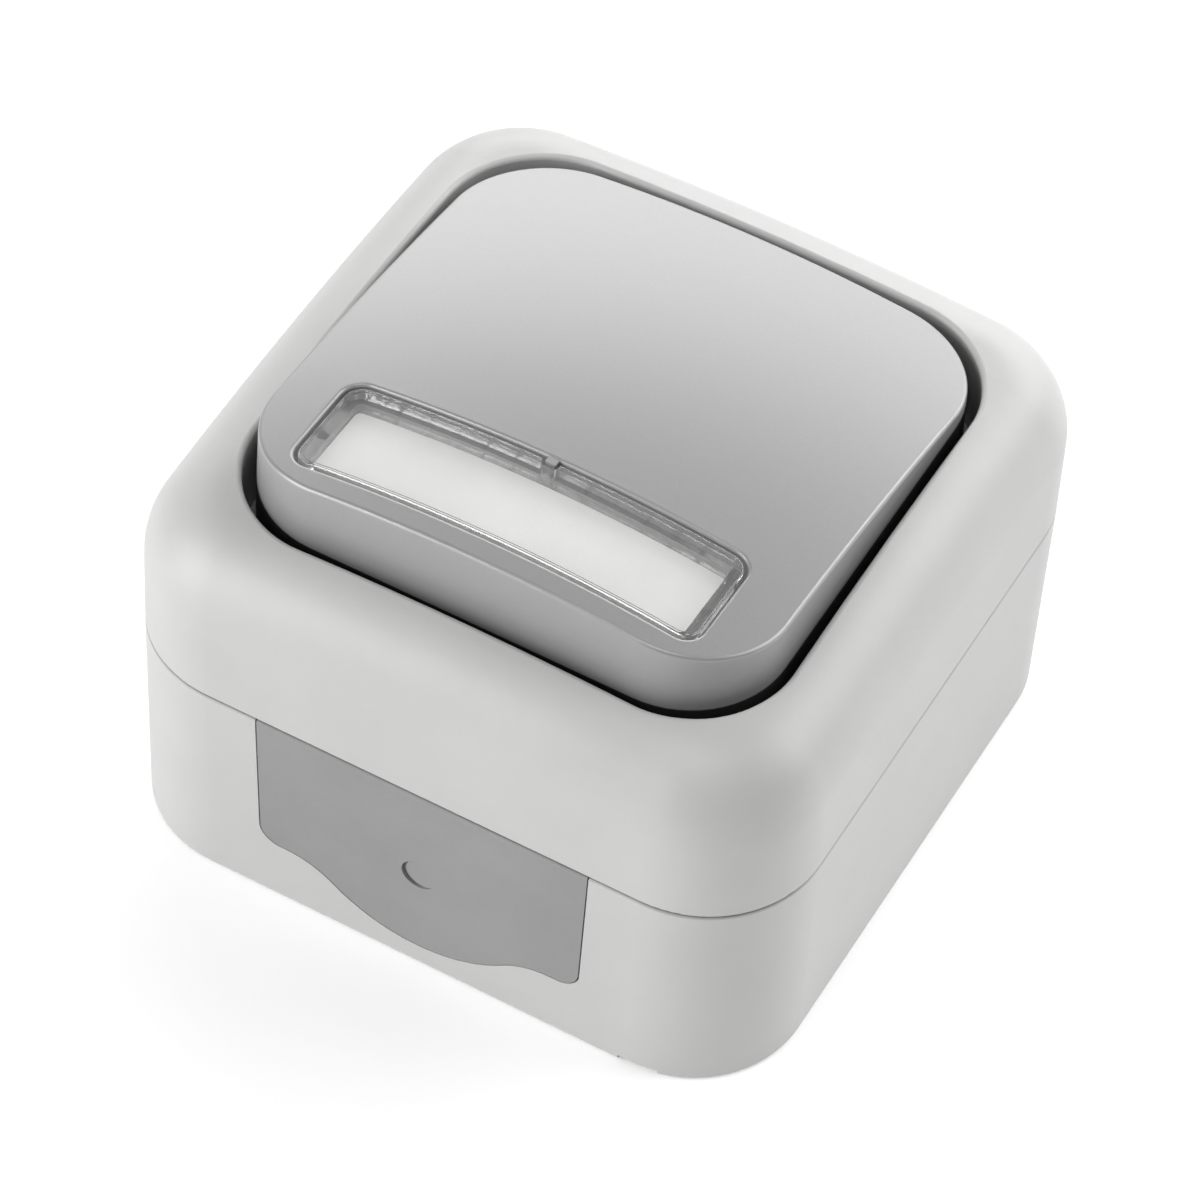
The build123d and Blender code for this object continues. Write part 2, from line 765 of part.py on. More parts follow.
# Moving contact tips: rivet heads under the bridge.
with BuildPart() as moving_contact_tips:
    with BuildSketch(Plane.XY.offset(moving_tip_z)):
        with Locations((-contact_x, plunger_y), (contact_x, plunger_y)):
            Circle(tip_radius)
    extrude(amount=tip_height)
    chamfer(moving_contact_tips.faces().group_by(Axis.Z)[0].edges(), tip_height / 3)
moving_contact_tips.part.label = "moving_contact_tips"
export_step(moving_contact_tips.part, "parts/moving_contact_tips.step")

# Contact bridge: flat strip through the plunger's collar.
with BuildPart() as contact_bridge:
    with BuildSketch(Plane.XY.offset(bridge_z)):
        with Locations((0, plunger_y)):
            RectangleRounded(bridge_length, strip_width, strip_width / 4)
    extrude(amount=strip_thickness)
contact_bridge.part.label = "contact_bridge"
export_step(contact_bridge.part, "parts/contact_bridge.step")

# Plunger: turned form with a ball nose, a neck for the boot, a collar with a slot for the bridge
# and a spigot that centres the spring.
plunger_plane = Plane((0, plunger_y, 0), (1, 0, 0), (0, -1, 0))
plunger_axis = Axis((0, plunger_y, 0), (0, 0, 1))
with BuildPart() as plunger:
    with BuildSketch(plunger_plane):
        with BuildLine():
            stem = Polyline(
                (0, collar_z - spigot_height),
                (spigot_radius, collar_z - spigot_height),
                (spigot_radius, collar_z),
                (collar_radius, collar_z),
                (collar_radius, collar_z + collar_height),
                (stem_radius, collar_z + collar_height),
                (stem_radius, neck_z - neck_height),
                (neck_radius, neck_z - neck_height),
                (neck_radius, neck_z),
                (stem_radius, neck_z),
                (nose_radius, nose_z - nose_radius),
            )
            nose = TangentArc(stem @ 1, (0, nose_z), tangent=(0, 1))
            Line(nose @ 1, stem @ 0)
        make_face()
    revolve(axis=plunger_axis)
    with BuildSketch(Plane.XY.offset(bridge_z)):
        with Locations((0, plunger_y)):
            Rectangle(3 * collar_radius, strip_width)
    extrude(amount=strip_thickness, mode=Mode.SUBTRACT)
plunger.part.label = "plunger"
export_step(plunger.part, "parts/plunger.step")

# Plunger boot: rubber sleeve with one fold, from a foot round the frame's ring to the neck.
with BuildPart() as plunger_boot:
    with BuildSketch(plunger_plane):
        with BuildLine():
            Polyline(
                (boot_bore, frame_top_z),
                (boot_radius, frame_top_z),
                (boot_radius, frame_top_z + boot_wall),
                (boot_bore + boot_wall, frame_top_z + boot_wall),
                (boot_bore + boot_wall, boot_lip_z - boot_fall),
                (neck_radius + boot_wall, boot_lip_z),
                (neck_radius + touch_gap, boot_lip_z),
                (neck_radius + touch_gap, boot_lip_z - boot_lip),
                (neck_radius + boot_wall, boot_lip_z - boot_lip),
                (boot_bore, boot_lip_z - boot_lip - boot_fall),
                close=True,
            )
        make_face()
    revolve(axis=plunger_axis)
plunger_boot.part.label = "plunger_boot"
export_step(plunger_boot.part, "parts/plunger_boot.step")

# Return spring: from the block's floor to the underside of the plunger's collar.
spring_low = block_floor_z + spring_wire + touch_gap
spring_high = collar_z - spring_wire - touch_gap
spring_pitch = (spring_high - spring_low) / spring_turns
with BuildPart() as return_spring:
    with BuildLine():
        coil = Helix(
            spring_pitch, spring_high - spring_low, spring_radius, (0, plunger_y, spring_low)
        )
    with BuildSketch(Plane(coil @ 0, z_dir=coil % 0)):
        Circle(spring_wire)
    sweep(path=coil, is_frenet=True)
return_spring.part.label = "return_spring"
export_step(return_spring.part, "parts/return_spring.step")

# Rocker actuator: plate with two cheeks that carry the pivot pins, a pad over the plunger and
# four posts for the cap.
with BuildPart() as rocker_actuator:
    with BuildSketch(Plane.XY.offset(plate_z)):
        RectangleRounded(2 * plate_half_width, 2 * plate_half_length, plate_corner)
    extrude(amount=plate_thickness)
    with BuildSketch(Plane.XY.offset(pivot_z)):
        with Locations((0, plunger_y)):
            RectangleRounded(pad_size, pad_size, pad_corner)
    extrude(amount=plate_rise)
    for side in (-1, 1):
        with BuildSketch(Plane.YZ.offset(side * (cheek_out - cheek_thickness))):
            with Locations((0, pivot_z)):
                Circle(cheek_radius)
                Rectangle(2 * cheek_radius, plate_rise, align=(Align.CENTER, Align.MIN))
        extrude(amount=side * cheek_thickness)
        with BuildSketch(Plane.YZ.offset(side * cheek_out)):
            with Locations((0, pivot_z)):
                Circle(pin_radius)
        extrude(amount=side * (ear_gap + ear_thickness + ear_gap))
    with BuildSketch(Plane.XY.offset(plate_top)):
        with Locations(*post_points):
            Circle(post_radius)
    extrude(amount=post_height)
    posts = rocker_actuator.faces().group_by(Axis.Z)[-1]
    chamfer(posts.edges(), edge_break)
rocker_actuator.part.label = "rocker_actuator"
export_step(rocker_actuator.part, "parts/rocker_actuator.step")

# Sockets and ribs under the cap's face, cut off level with the middle of the face wall.
with BuildPart() as cap_sockets:
    with BuildSketch(Plane.XY.offset(plate_top)):
        with Locations(*post_points):
            Circle(socket_radius)
        with GridLocations(2 * post_x, 0, 2, 1):
            with Locations((0, (post_front_y + post_back_y) / 2)):
                Rectangle(socket_rib, post_back_y - post_front_y)
    extrude(amount=button_mid_z - plate_top + button_rise)
    add(crown_barrel(button_top_wall / 2), mode=Mode.INTERSECT)

outer_button = button_form(0, 0)
inner_button = button_form(button_skirt_wall, button_top_wall)
pocket_wall = crowned_slab(
    window_length + 2 * button_skirt_wall,
    window_width + 2 * button_skirt_wall,
    window_radius + button_skirt_wall,
    window_shift,
    button_top_wall / 2,
    pocket_depth + pocket_floor,
)
pocket = crowned_slab(
    window_length, window_width, window_radius, window_shift, -button_rise, pocket_depth
)
lug_y = window_shift + window_width / 2
lug = crowned_slab(
    lug_width, 2 * lug_reach, lug_round, lug_y, lens_set_back, pocket_depth + pocket_floor / 2
)

# Rocker cap: sloping push face with a drafted skirt, the pocket for the name window with its
# small lug, and the sockets that go on the actuator's posts.
with BuildPart() as rocker_cap:
    add(outer_button)
    fillet(rocker_cap.faces().sort_by(Axis.Z)[-1].edges(), button_edge_round)
    add(inner_button, mode=Mode.SUBTRACT)
    add(cap_sockets.part)
    add(pocket_wall)
    with BuildSketch(Plane.XY.offset(plate_top)):
        with Locations(*post_points):
            Circle(post_radius + running_gap)
    extrude(amount=post_height + running_gap, mode=Mode.SUBTRACT)
    add(pocket, mode=Mode.SUBTRACT)
    push_face = rocker_cap.faces().filter_by(faces_up).sort_by(SortBy.AREA)[-1]
    fillet(push_face.inner_wires()[0].edges(), window_rim_round)
    add(lug)
rocker_cap.part.label = "rocker_cap"
export_step(rocker_cap.part, "parts/rocker_cap.step")

# Name window: clear tray, open underneath, that follows the crown of the push face. Its field is
# a little lower than its rim, and a notch goes round the lug.
lens_outside = crowned_slab(
    window_length - 2 * lens_gap,
    window_width - 2 * lens_gap,
    window_radius - lens_gap,
    window_shift,
    lens_set_back,
    pocket_depth,
)
lens_room = crowned_slab(
    card_length + 2 * card_gap,
    card_width + 2 * card_gap,
    card_gap + card_corner,
    window_shift + card_shift,
    lens_set_back + lens_plate,
    2 * pocket_depth,
)
lens_field = crowned_slab(
    window_length - 2 * (lens_gap + lens_rim),
    window_width - 2 * (lens_gap + lens_rim),
    window_radius - lens_gap - lens_rim,
    window_shift,
    -lens_step,
    lens_set_back + lens_step,
)
lug_notch = crowned_slab(
    lug_width + 2 * lens_gap,
    2 * (lug_reach + lens_gap),
    lug_round + lens_gap,
    lug_y,
    -lens_step,
    2 * pocket_depth,
)
with BuildPart() as label_window:
    add(lens_outside)
    add(lens_room, mode=Mode.SUBTRACT)
    lens_face = label_window.faces().filter_by(faces_up).sort_by(SortBy.AREA)[-1]
    fillet(lens_face.edges(), lens_round)
    add(lens_field, mode=Mode.SUBTRACT)
    add(lug_notch, mode=Mode.SUBTRACT)
label_window.part.label = "label_window"
export_step(label_window.part, "parts/label_window.step")

# Name card: plain card on the floor of the pocket.
card = crowned_slab(
    card_length,
    card_width,
    card_corner,
    window_shift + card_shift,
    pocket_depth - card_thickness,
    pocket_depth,
)
card.label = "name_label"
export_step(card, "parts/name_label.step")
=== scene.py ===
from math import cos, pi, radians, sin

import bpy
from mathutils import Matrix, Vector


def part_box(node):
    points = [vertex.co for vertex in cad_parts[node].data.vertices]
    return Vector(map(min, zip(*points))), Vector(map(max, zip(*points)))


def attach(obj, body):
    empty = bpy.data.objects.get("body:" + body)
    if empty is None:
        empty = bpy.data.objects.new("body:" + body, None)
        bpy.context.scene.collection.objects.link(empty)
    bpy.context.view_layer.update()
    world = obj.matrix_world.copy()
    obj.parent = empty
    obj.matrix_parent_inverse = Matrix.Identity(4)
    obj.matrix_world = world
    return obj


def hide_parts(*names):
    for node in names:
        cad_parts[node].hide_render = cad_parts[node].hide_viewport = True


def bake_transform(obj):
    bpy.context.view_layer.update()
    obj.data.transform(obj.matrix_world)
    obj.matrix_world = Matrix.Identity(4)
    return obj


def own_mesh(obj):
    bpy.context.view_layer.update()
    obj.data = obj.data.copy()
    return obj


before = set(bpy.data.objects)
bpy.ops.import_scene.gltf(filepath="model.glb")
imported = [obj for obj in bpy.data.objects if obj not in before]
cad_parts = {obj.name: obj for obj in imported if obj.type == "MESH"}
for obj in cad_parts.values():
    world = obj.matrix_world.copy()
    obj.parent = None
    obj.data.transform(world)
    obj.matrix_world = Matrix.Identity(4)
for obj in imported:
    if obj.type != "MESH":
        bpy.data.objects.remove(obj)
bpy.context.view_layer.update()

# Table: the bell push lies on its back on a plain white table. The table glows a little, as a
# light table does, so that it stays pale around the part and softens the shadow beside it.
table_size = 6.0
table_white = (0.86, 0.86, 0.86, 1.0)
table_rough = 0.9
table_gloss = 0.0
pure_white = (1.0, 1.0, 1.0, 1.0)
table_glow = 0.2

half_table = table_size / 2
table_corners = [
    (-half_table, -half_table, 0),
    (half_table, -half_table, 0),
    (half_table, half_table, 0),
    (-half_table, half_table, 0),
]
table_mesh = bpy.data.meshes.new("table")
table_mesh.from_pydata(table_corners, [], [(0, 1, 2, 3)])
table = bpy.data.objects.new("table", table_mesh)
bpy.context.scene.collection.objects.link(table)
table_finish = bpy.data.materials.new("table_white")
table_finish.use_nodes = True
table_shader = table_finish.node_tree.nodes["Principled BSDF"]
table_shader.inputs["Base Color"].default_value = table_white
table_shader.inputs["Roughness"].default_value = table_rough
table_shader.inputs["Specular IOR Level"].default_value = table_gloss
table_shader.inputs["Emission Color"].default_value = pure_white
table_shader.inputs["Emission Strength"].default_value = table_glow
table_mesh.materials.append(table_finish)

# Studio light: large soft boxes to the left of the lower side wall, behind the right side wall and
# overhead, a faint one behind the left side wall, and a low wide sheet behind the part, which its
# satin button mirrors. The room itself is dim, but looks pale.
room_fill = 0.14
room_seen = 0.9

room = bpy.data.worlds.new("room")
room.use_nodes = True
room_nodes = room.node_tree.nodes
room_links = room.node_tree.links
fill = room_nodes["Background"]
fill.inputs["Strength"].default_value = room_fill
seen = room_nodes.new("ShaderNodeBackground")
seen.inputs["Strength"].default_value = room_seen
for background in (fill, seen):
    background.inputs["Color"].default_value = pure_white
ray = room_nodes.new("ShaderNodeLightPath")
choice = room_nodes.new("ShaderNodeMixShader")
room_links.new(ray.outputs["Is Camera Ray"], choice.inputs[0])
room_links.new(fill.outputs[0], choice.inputs[1])
room_links.new(seen.outputs[0], choice.inputs[2])
room_links.new(choice.outputs[0], room_nodes["World Output"].inputs["Surface"])
bpy.context.scene.world = room
bpy.context.scene.view_settings.view_transform = "Standard"

part_middle = Vector((0, 0, 0.025))


def soft_box(name, place, width, height, power):
    light = bpy.data.lights.new(name, "AREA")
    light.shape = "RECTANGLE"
    light.size = width
    light.size_y = height
    light.energy = power
    lamp = bpy.data.objects.new(name, light)
    lamp.location = place
    lamp.rotation_euler = (part_middle - Vector(place)).to_track_quat("-Z", "Y").to_euler()
    bpy.context.scene.collection.objects.link(lamp)


soft_box("left_box", (-0.66, -0.75, 0.42), width=0.85, height=0.85, power=11.8)
soft_box("right_box", (0.7, 0.6, 0.66), width=0.9, height=0.9, power=9.2)
soft_box("top_box", (0.1, -0.3, 1.0), width=0.5, height=0.5, power=2.6)
soft_box("back_sheet", (-0.14, 1.1, 0.42), width=1.9, height=0.66, power=15.0)
soft_box("left_back_box", (-0.95, 0.5, 0.5), width=0.5, height=0.5, power=0.8)

# Camera: a long lens, half above the part and half to its right, turned a little on its own axis.
view_turn = radians(26.44)
view_height = radians(50.15)
view_roll = radians(3.79)
view_distance = 0.54521
view_target = Vector((0.00208, -0.00507, 0.025))
lens_mm = 168.3
sensor_mm = 36.0
nearest_seen = 0.01

back_x = sin(view_turn) * cos(view_height)
back_y = -cos(view_turn) * cos(view_height)
back = Vector((back_x, back_y, sin(view_height)))
level = Vector((cos(view_turn), sin(view_turn), 0))
upright = back.cross(level)
right = cos(view_roll) * level + sin(view_roll) * upright
up = -sin(view_roll) * level + cos(view_roll) * upright
camera_data = bpy.data.cameras.new("camera")
camera_data.lens = lens_mm
camera_data.sensor_width = sensor_mm
camera_data.clip_start = nearest_seen
camera = bpy.data.objects.new("camera", camera_data)
camera_turn = Matrix((right, up, back)).transposed().to_4x4()
camera.matrix_world = Matrix.Translation(view_target + back * view_distance) @ camera_turn
bpy.context.scene.collection.objects.link(camera)
bpy.context.scene.camera = camera

# Back box: the square half of the housing that is screwed to the wall. It is injection moulded in
# light grey weatherproof plastic, in a spark-eroded tool that leaves a fine even satin grain.
housing_dark = (0.435, 0.435, 0.432, 1.0)
housing_light = (0.452, 0.452, 0.448, 1.0)
housing_rough = (0.4, 0.5)
housing_grain = 0.00016
housing_depth = 0.000006
housing_gloss = 0.7
cloud_size = 0.012
grain_detail = 2.0
grain_edge = 0.25
cloud_detail = 3.0
cloud_edge = 0.35


def new_effect(name, inputs, outputs):
    effect = bpy.data.node_groups.new(name, "ShaderNodeTree")
    for title, kind, value in inputs:
        socket = effect.interface.new_socket(title, in_out="INPUT", socket_type=kind)
        socket.default_value = value
    for title in outputs:
        effect.interface.new_socket(title, in_out="OUTPUT", socket_type="NodeSocketFloat")
    return effect, effect.nodes.new("NodeGroupInput"), effect.nodes.new("NodeGroupOutput")


def calculate(tree, operation, *values):
    step = tree.nodes.new("ShaderNodeMath")
    step.operation = operation
    for socket, value in zip(step.inputs, values):
        if isinstance(value, bpy.types.NodeSocket):
            tree.links.new(value, socket)
        else:
            socket.default_value = value
    return step.outputs[0]


def stretch(tree, value, low, high, to_low=0.0, to_high=1.0):
    step = tree.nodes.new("ShaderNodeMapRange")
    tree.links.new(value, step.inputs["Value"])
    step.inputs["From Min"].default_value = low
    step.inputs["From Max"].default_value = high
    step.inputs["To Min"].default_value = to_low
    step.inputs["To Max"].default_value = to_high
    return step.outputs["Result"]


# The grain of a moulded surface: fine pits from the tool, and the broad faint clouds that the
# flow of the plastic leaves in its colour. Both run from 0 to 1.
moulded, moulded_in, moulded_out = new_effect(
    "moulded_surface",
    [("Grain size", "NodeSocketFloat", housing_grain), ("Cloud size", "NodeSocketFloat", cloud_size)],
    ["Grain", "Clouds"],
)
moulded_place = moulded.nodes.new("ShaderNodeTexCoord")
for title, size, detail, edge in (
    ("Grain", "Grain size", grain_detail, grain_edge),
    ("Clouds", "Cloud size", cloud_detail, cloud_edge),
):
    noise = moulded.nodes.new("ShaderNodeTexNoise")
    noise.inputs["Detail"].default_value = detail
    per_metre = calculate(moulded, "DIVIDE", 1.0, moulded_in.outputs[size])
    moulded.links.new(moulded_place.outputs["Object"], noise.inputs["Vector"])
    moulded.links.new(per_metre, noise.inputs["Scale"])
    shown = stretch(moulded, noise.outputs["Fac"], edge, 1 - edge)
    moulded.links.new(shown, moulded_out.inputs[title])


def new_finish(name, effect, settings):
    finish = bpy.data.materials.new(name)
    finish.use_nodes = True
    texture = finish.node_tree.nodes.new("ShaderNodeGroup")
    texture.node_tree = effect
    for title, value in settings.items():
        texture.inputs[title].default_value = value
    return finish, finish.node_tree.nodes["Principled BSDF"], texture


def tint(tree, mask, low_color, high_color):
    ramp = tree.nodes.new("ShaderNodeValToRGB")
    ramp.color_ramp.elements[0].color = low_color
    ramp.color_ramp.elements[1].color = high_color
    tree.links.new(mask, ramp.inputs["Fac"])
    return ramp.outputs["Color"]


def emboss(tree, height, depth, shader):
    bump = tree.nodes.new("ShaderNodeBump")
    bump.inputs["Distance"].default_value = depth
    tree.links.new(height, bump.inputs["Height"])
    tree.links.new(bump.outputs["Normal"], shader.inputs["Normal"])


def moulded_finish(name, low_color, high_color, rough, grain, depth, gloss=0.5):
    finish, shader, texture = new_finish(name, moulded, {"Grain size": grain})
    tree = finish.node_tree
    color = tint(tree, texture.outputs["Clouds"], low_color, high_color)
    tree.links.new(color, shader.inputs["Base Color"])
    roughness = stretch(tree, texture.outputs["Grain"], 0.0, 1.0, *rough)
    tree.links.new(roughness, shader.inputs["Roughness"])
    shader.inputs["Specular IOR Level"].default_value = gloss
    emboss(tree, texture.outputs["Grain"], depth, shader)
    return finish


def dress(finish, *names):
    for name in names:
        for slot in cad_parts[name].material_slots:
            slot.material = finish


housing_plastic = moulded_finish(
    "housing_plastic",
    housing_dark,
    housing_light,
    housing_rough,
    housing_grain,
    housing_depth,
    gloss=housing_gloss,
)
dress(housing_plastic, "back_box")

# Painted shade: a thin band along the open joint between the two halves is darker than the wall, for
# the shade that falls into the deep joint.
seam_gap = 0.00022
seam_reach = 0.00028
seam_shade_color = (0.36, 0.36, 0.355, 1.0)

seam_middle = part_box("front_cover")[0].z - seam_gap / 2
seam_tree = housing_plastic.node_tree
seam_shader = seam_tree.nodes["Principled BSDF"]
seam_place = seam_tree.nodes.new("ShaderNodeTexCoord")
seam_split = seam_tree.nodes.new("ShaderNodeSeparateXYZ")
seam_tree.links.new(seam_place.outputs["Object"], seam_split.inputs[0])
above_seam = calculate(seam_tree, "SUBTRACT", seam_split.outputs["Z"], seam_middle)
from_seam = calculate(seam_tree, "ABSOLUTE", above_seam)
in_shaded_seam = calculate(seam_tree, "LESS_THAN", from_seam, seam_reach)
seam_shade_mix = seam_tree.nodes.new("ShaderNodeMixRGB")
seam_shade_mix.inputs["Color2"].default_value = seam_shade_color
wall_color = seam_shader.inputs["Base Color"].links[0].from_socket
seam_tree.links.new(in_shaded_seam, seam_shade_mix.inputs["Fac"])
seam_tree.links.new(wall_color, seam_shade_mix.inputs["Color1"])
seam_tree.links.new(seam_shade_mix.outputs["Color"], seam_shader.inputs["Base Color"])

# Cable entry seal: a soft grey closure in the lower side wall, moulded in thermoplastic rubber.
# The electrician cuts it open for the cable. Its surface is matt, with a dry bloom on it.
seal_dark = (0.24, 0.24, 0.24, 1.0)
seal_light = (0.262, 0.262, 0.262, 1.0)
seal_rough = (0.62, 0.78)
seal_grain = 0.00022
seal_depth = 0.000008
seal_gloss = 0.3

entry_rubber = moulded_finish(
    "entry_rubber", seal_dark, seal_light, seal_rough, seal_grain, seal_depth, gloss=seal_gloss
)
dress(entry_rubber, "cable_entry_seal")

# Contact block: the insulating body that holds the contacts and the terminals. It is moulded in
# off-white, hard, heatproof plastic, with the faint speckle of its mineral filler.
block_dark = (0.62, 0.6, 0.54, 1.0)
block_light = (0.76, 0.74, 0.68, 1.0)
block_rough = (0.5, 0.62)
block_grain = 0.0003
block_depth = 0.00001

block_plastic = moulded_finish(
    "block_plastic", block_dark, block_light, block_rough, block_grain, block_depth
)
dress(block_plastic, "contact_block")

# Terminal clamps and fixed contacts: two cage clamps bent from brass strip and two contact strips
# stamped from the same brass. The rolling of the sheet leaves fine lines, and handling dulls it.
brass_bright = (0.86, 0.66, 0.33, 1.0)
brass_dull = (0.6, 0.42, 0.2, 1.0)
brass_rough = (0.22, 0.4)
brass_stain = 0.003
rolled_scale = (300.0, 9000.0, 9000.0)
line_low = 0.3
line_high = 0.7
line_depth = 0.000003
stain_detail = 4.0
stain_low = 0.4
stain_high = 0.7

# The surface of rolled or drawn metal: fine lines along it, and stains in broad patches.
rolled, rolled_in, rolled_out = new_effect(
    "rolled_metal",
    [("Line scale", "NodeSocketVector", rolled_scale), ("Stain size", "NodeSocketFloat", brass_stain)],
    ["Lines", "Stains"],
)
rolled_place = rolled.nodes.new("ShaderNodeTexCoord")
rolled_lines = rolled.nodes.new("ShaderNodeTexNoise")
rolled_stains = rolled.nodes.new("ShaderNodeTexNoise")
rolled_stretch = rolled.nodes.new("ShaderNodeMapping")
rolled_lines.inputs["Scale"].default_value = 1.0
rolled_stains.inputs["Detail"].default_value = stain_detail
rolled.links.new(rolled_place.outputs["Object"], rolled_stretch.inputs["Vector"])
rolled.links.new(rolled_in.outputs["Line scale"], rolled_stretch.inputs["Scale"])
rolled.links.new(rolled_stretch.outputs["Vector"], rolled_lines.inputs["Vector"])
rolled.links.new(rolled_place.outputs["Object"], rolled_stains.inputs["Vector"])
stains_per_metre = calculate(rolled, "DIVIDE", 1.0, rolled_in.outputs["Stain size"])
rolled.links.new(stains_per_metre, rolled_stains.inputs["Scale"])
rolled.links.new(rolled_lines.outputs["Fac"], rolled_out.inputs["Lines"])
shown_stains = stretch(rolled, rolled_stains.outputs["Fac"], stain_low, stain_high)
rolled.links.new(shown_stains, rolled_out.inputs["Stains"])


def rolled_finish(name, bright, dull, rough, settings):
    finish, shader, texture = new_finish(name, rolled, settings)
    tree = finish.node_tree
    color = tint(tree, texture.outputs["Stains"], bright, dull)
    tree.links.new(color, shader.inputs["Base Color"])
    roughness = stretch(tree, texture.outputs["Lines"], line_low, line_high, *rough)
    tree.links.new(roughness, shader.inputs["Roughness"])
    shader.inputs["Metallic"].default_value = 1.0
    emboss(tree, texture.outputs["Lines"], line_depth, shader)
    return finish


terminal_brass = rolled_finish("terminal_brass", brass_bright, brass_dull, brass_rough, {})
dress(terminal_brass, "terminal_clamp_left", "terminal_clamp_right")
dress(terminal_brass, "fixed_contact_left", "fixed_contact_right")

# Contact tips: small rivets of fine silver on the brass, two fixed and two that move. Their domes
# are pressed smooth, and the metal has begun to yellow where air reaches it.
silver_bright = (0.88, 0.88, 0.86, 1.0)
silver_dull = (0.62, 0.58, 0.5, 1.0)
silver_rough = (0.14, 0.28)
silver_stain = 0.0012

contact_silver = rolled_finish(
    "contact_silver", silver_bright, silver_dull, silver_rough, {"Stain size": silver_stain}
)
dress(contact_silver, "fixed_contact_tips", "moving_contact_tips")

# Contact bridge: the flat brass bar on the push rod that joins the two fixed contacts when the
# button goes down. It is blanked from thicker sheet, with its grain along its length.
dress(terminal_brass, "contact_bridge")

# Return spring: wound from stainless spring wire, drawn through a die. It pushes the rod and the
# button back up after each press.
spring_bright = (0.66, 0.66, 0.67, 1.0)
spring_dull = (0.46, 0.46, 0.46, 1.0)
spring_rough = (0.2, 0.34)
drawn_scale = (9000.0, 9000.0, 900.0)
spring_turns = 4.5
wire_radius = 0.0003
steps_a_turn = 36
wire_sides = 12

spring_steel = rolled_finish(
    "spring_steel", spring_bright, spring_dull, spring_rough, {"Line scale": drawn_scale}
)
spring_low, spring_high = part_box("return_spring")
spring_height = spring_high.z - spring_low.z
coil_radius = (spring_high.x - spring_low.x) / 2 - wire_radius
coil_middle = (spring_low + spring_high) / 2
coil_rise = spring_height - 2 * wire_radius
spring_steps = int(spring_turns * steps_a_turn)
upward = Vector((0, 0, 1))
spring_points = []
for step in range(spring_steps + 1):
    turn = 2 * pi * spring_turns * step / spring_steps
    outward = Vector((cos(turn), sin(turn), 0))
    height = spring_low.z + wire_radius + coil_rise * step / spring_steps
    centre = Vector((0, coil_middle.y, height)) + coil_radius * outward
    for side in range(wire_sides):
        around = 2 * pi * side / wire_sides
        spring_points.append(centre + wire_radius * (cos(around) * outward + sin(around) * upward))
last_ring = spring_steps * wire_sides
spring_faces = [
    tuple(range(wire_sides)),
    tuple(reversed(range(last_ring, last_ring + wire_sides))),
]
for step in range(spring_steps):
    for side in range(wire_sides):
        here = step * wire_sides + side
        beside = step * wire_sides + (side + 1) % wire_sides
        spring_faces.append((here, here + wire_sides, beside + wire_sides, beside))


def new_piece(name, points, faces, finish):
    mesh = bpy.data.meshes.new(name)
    mesh.from_pydata(points, [], faces)
    mesh.shade_smooth()
    mesh.materials.append(finish)
    piece = bpy.data.objects.new(name, mesh)
    bpy.context.scene.collection.objects.link(piece)
    return piece


wound_spring = new_piece("wound_return_spring", spring_points, spring_faces, spring_steel)
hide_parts("return_spring")
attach(wound_spring, "housing")
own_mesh(wound_spring)

# Plunger: the push rod, moulded in slippery mid-grey plastic. It carries the contact bridge and
# slides in the frame, so it is smoother than the housing.
lever_dark = (0.4, 0.41, 0.42, 1.0)
lever_light = (0.47, 0.48, 0.49, 1.0)
lever_rough = (0.3, 0.38)
lever_grain = 0.0005
lever_depth = 0.000002

lever_plastic = moulded_finish(
    "lever_plastic", lever_dark, lever_light, lever_rough, lever_grain, lever_depth
)
dress(lever_plastic, "plunger")

# Boot and gaskets: the rubber cap over the push rod, the ring between the two halves of the
# housing and the ring under the cover's well. All are moulded in soft black rubber.
gasket_dark = (0.018, 0.018, 0.018, 1.0)
gasket_light = (0.045, 0.045, 0.043, 1.0)
gasket_rough = (0.6, 0.8)
gasket_grain = 0.00025
gasket_depth = 0.000012
gasket_gloss = 0.35
boot_wall = 0.0007
boot_foot = 0.0014
boot_lip = 0.00064
boot_fall = 0.001
boot_neck = 0.00203
boot_rounding = 0.0001
boot_bulge = 0.5
boot_sides = 72

gasket_rubber = moulded_finish(
    "gasket_rubber",
    gasket_dark,
    gasket_light,
    gasket_rough,
    gasket_grain,
    gasket_depth,
    gloss=gasket_gloss,
)
dress(gasket_rubber, "rim_gasket", "well_gasket")

boot_low, boot_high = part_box("plunger_boot")
boot_radius = (boot_high.x - boot_low.x) / 2
boot_bore = boot_radius - boot_foot
boot_middle = (boot_low + boot_high) / 2
lip_bottom = boot_high.z - boot_lip
boot_corners = [
    (boot_bore, boot_low.z),
    (boot_radius, boot_low.z),
    (boot_radius, boot_low.z + boot_wall),
    (boot_bore + boot_wall, boot_low.z + boot_wall),
    (boot_bore + boot_wall, boot_high.z - boot_fall),
    (boot_neck + boot_wall, boot_high.z),
    (boot_neck, boot_high.z),
    (boot_neck, lip_bottom),
    (boot_neck + boot_wall, lip_bottom),
    (boot_bore, lip_bottom - boot_fall),
]
boot_outline = []
for number, corner in enumerate(boot_corners):
    here = Vector(corner)
    last_corner = Vector(boot_corners[number - 1])
    next_corner = Vector(boot_corners[(number + 1) % len(boot_corners)])
    round_start = here + boot_rounding * (last_corner - here).normalized()
    round_end = here + boot_rounding * (next_corner - here).normalized()
    round_middle = here.lerp((round_end + round_start) / 2, boot_bulge)
    boot_outline.extend([round_start, round_middle, round_end])
outline_size = len(boot_outline)
boot_points = []
boot_faces = []
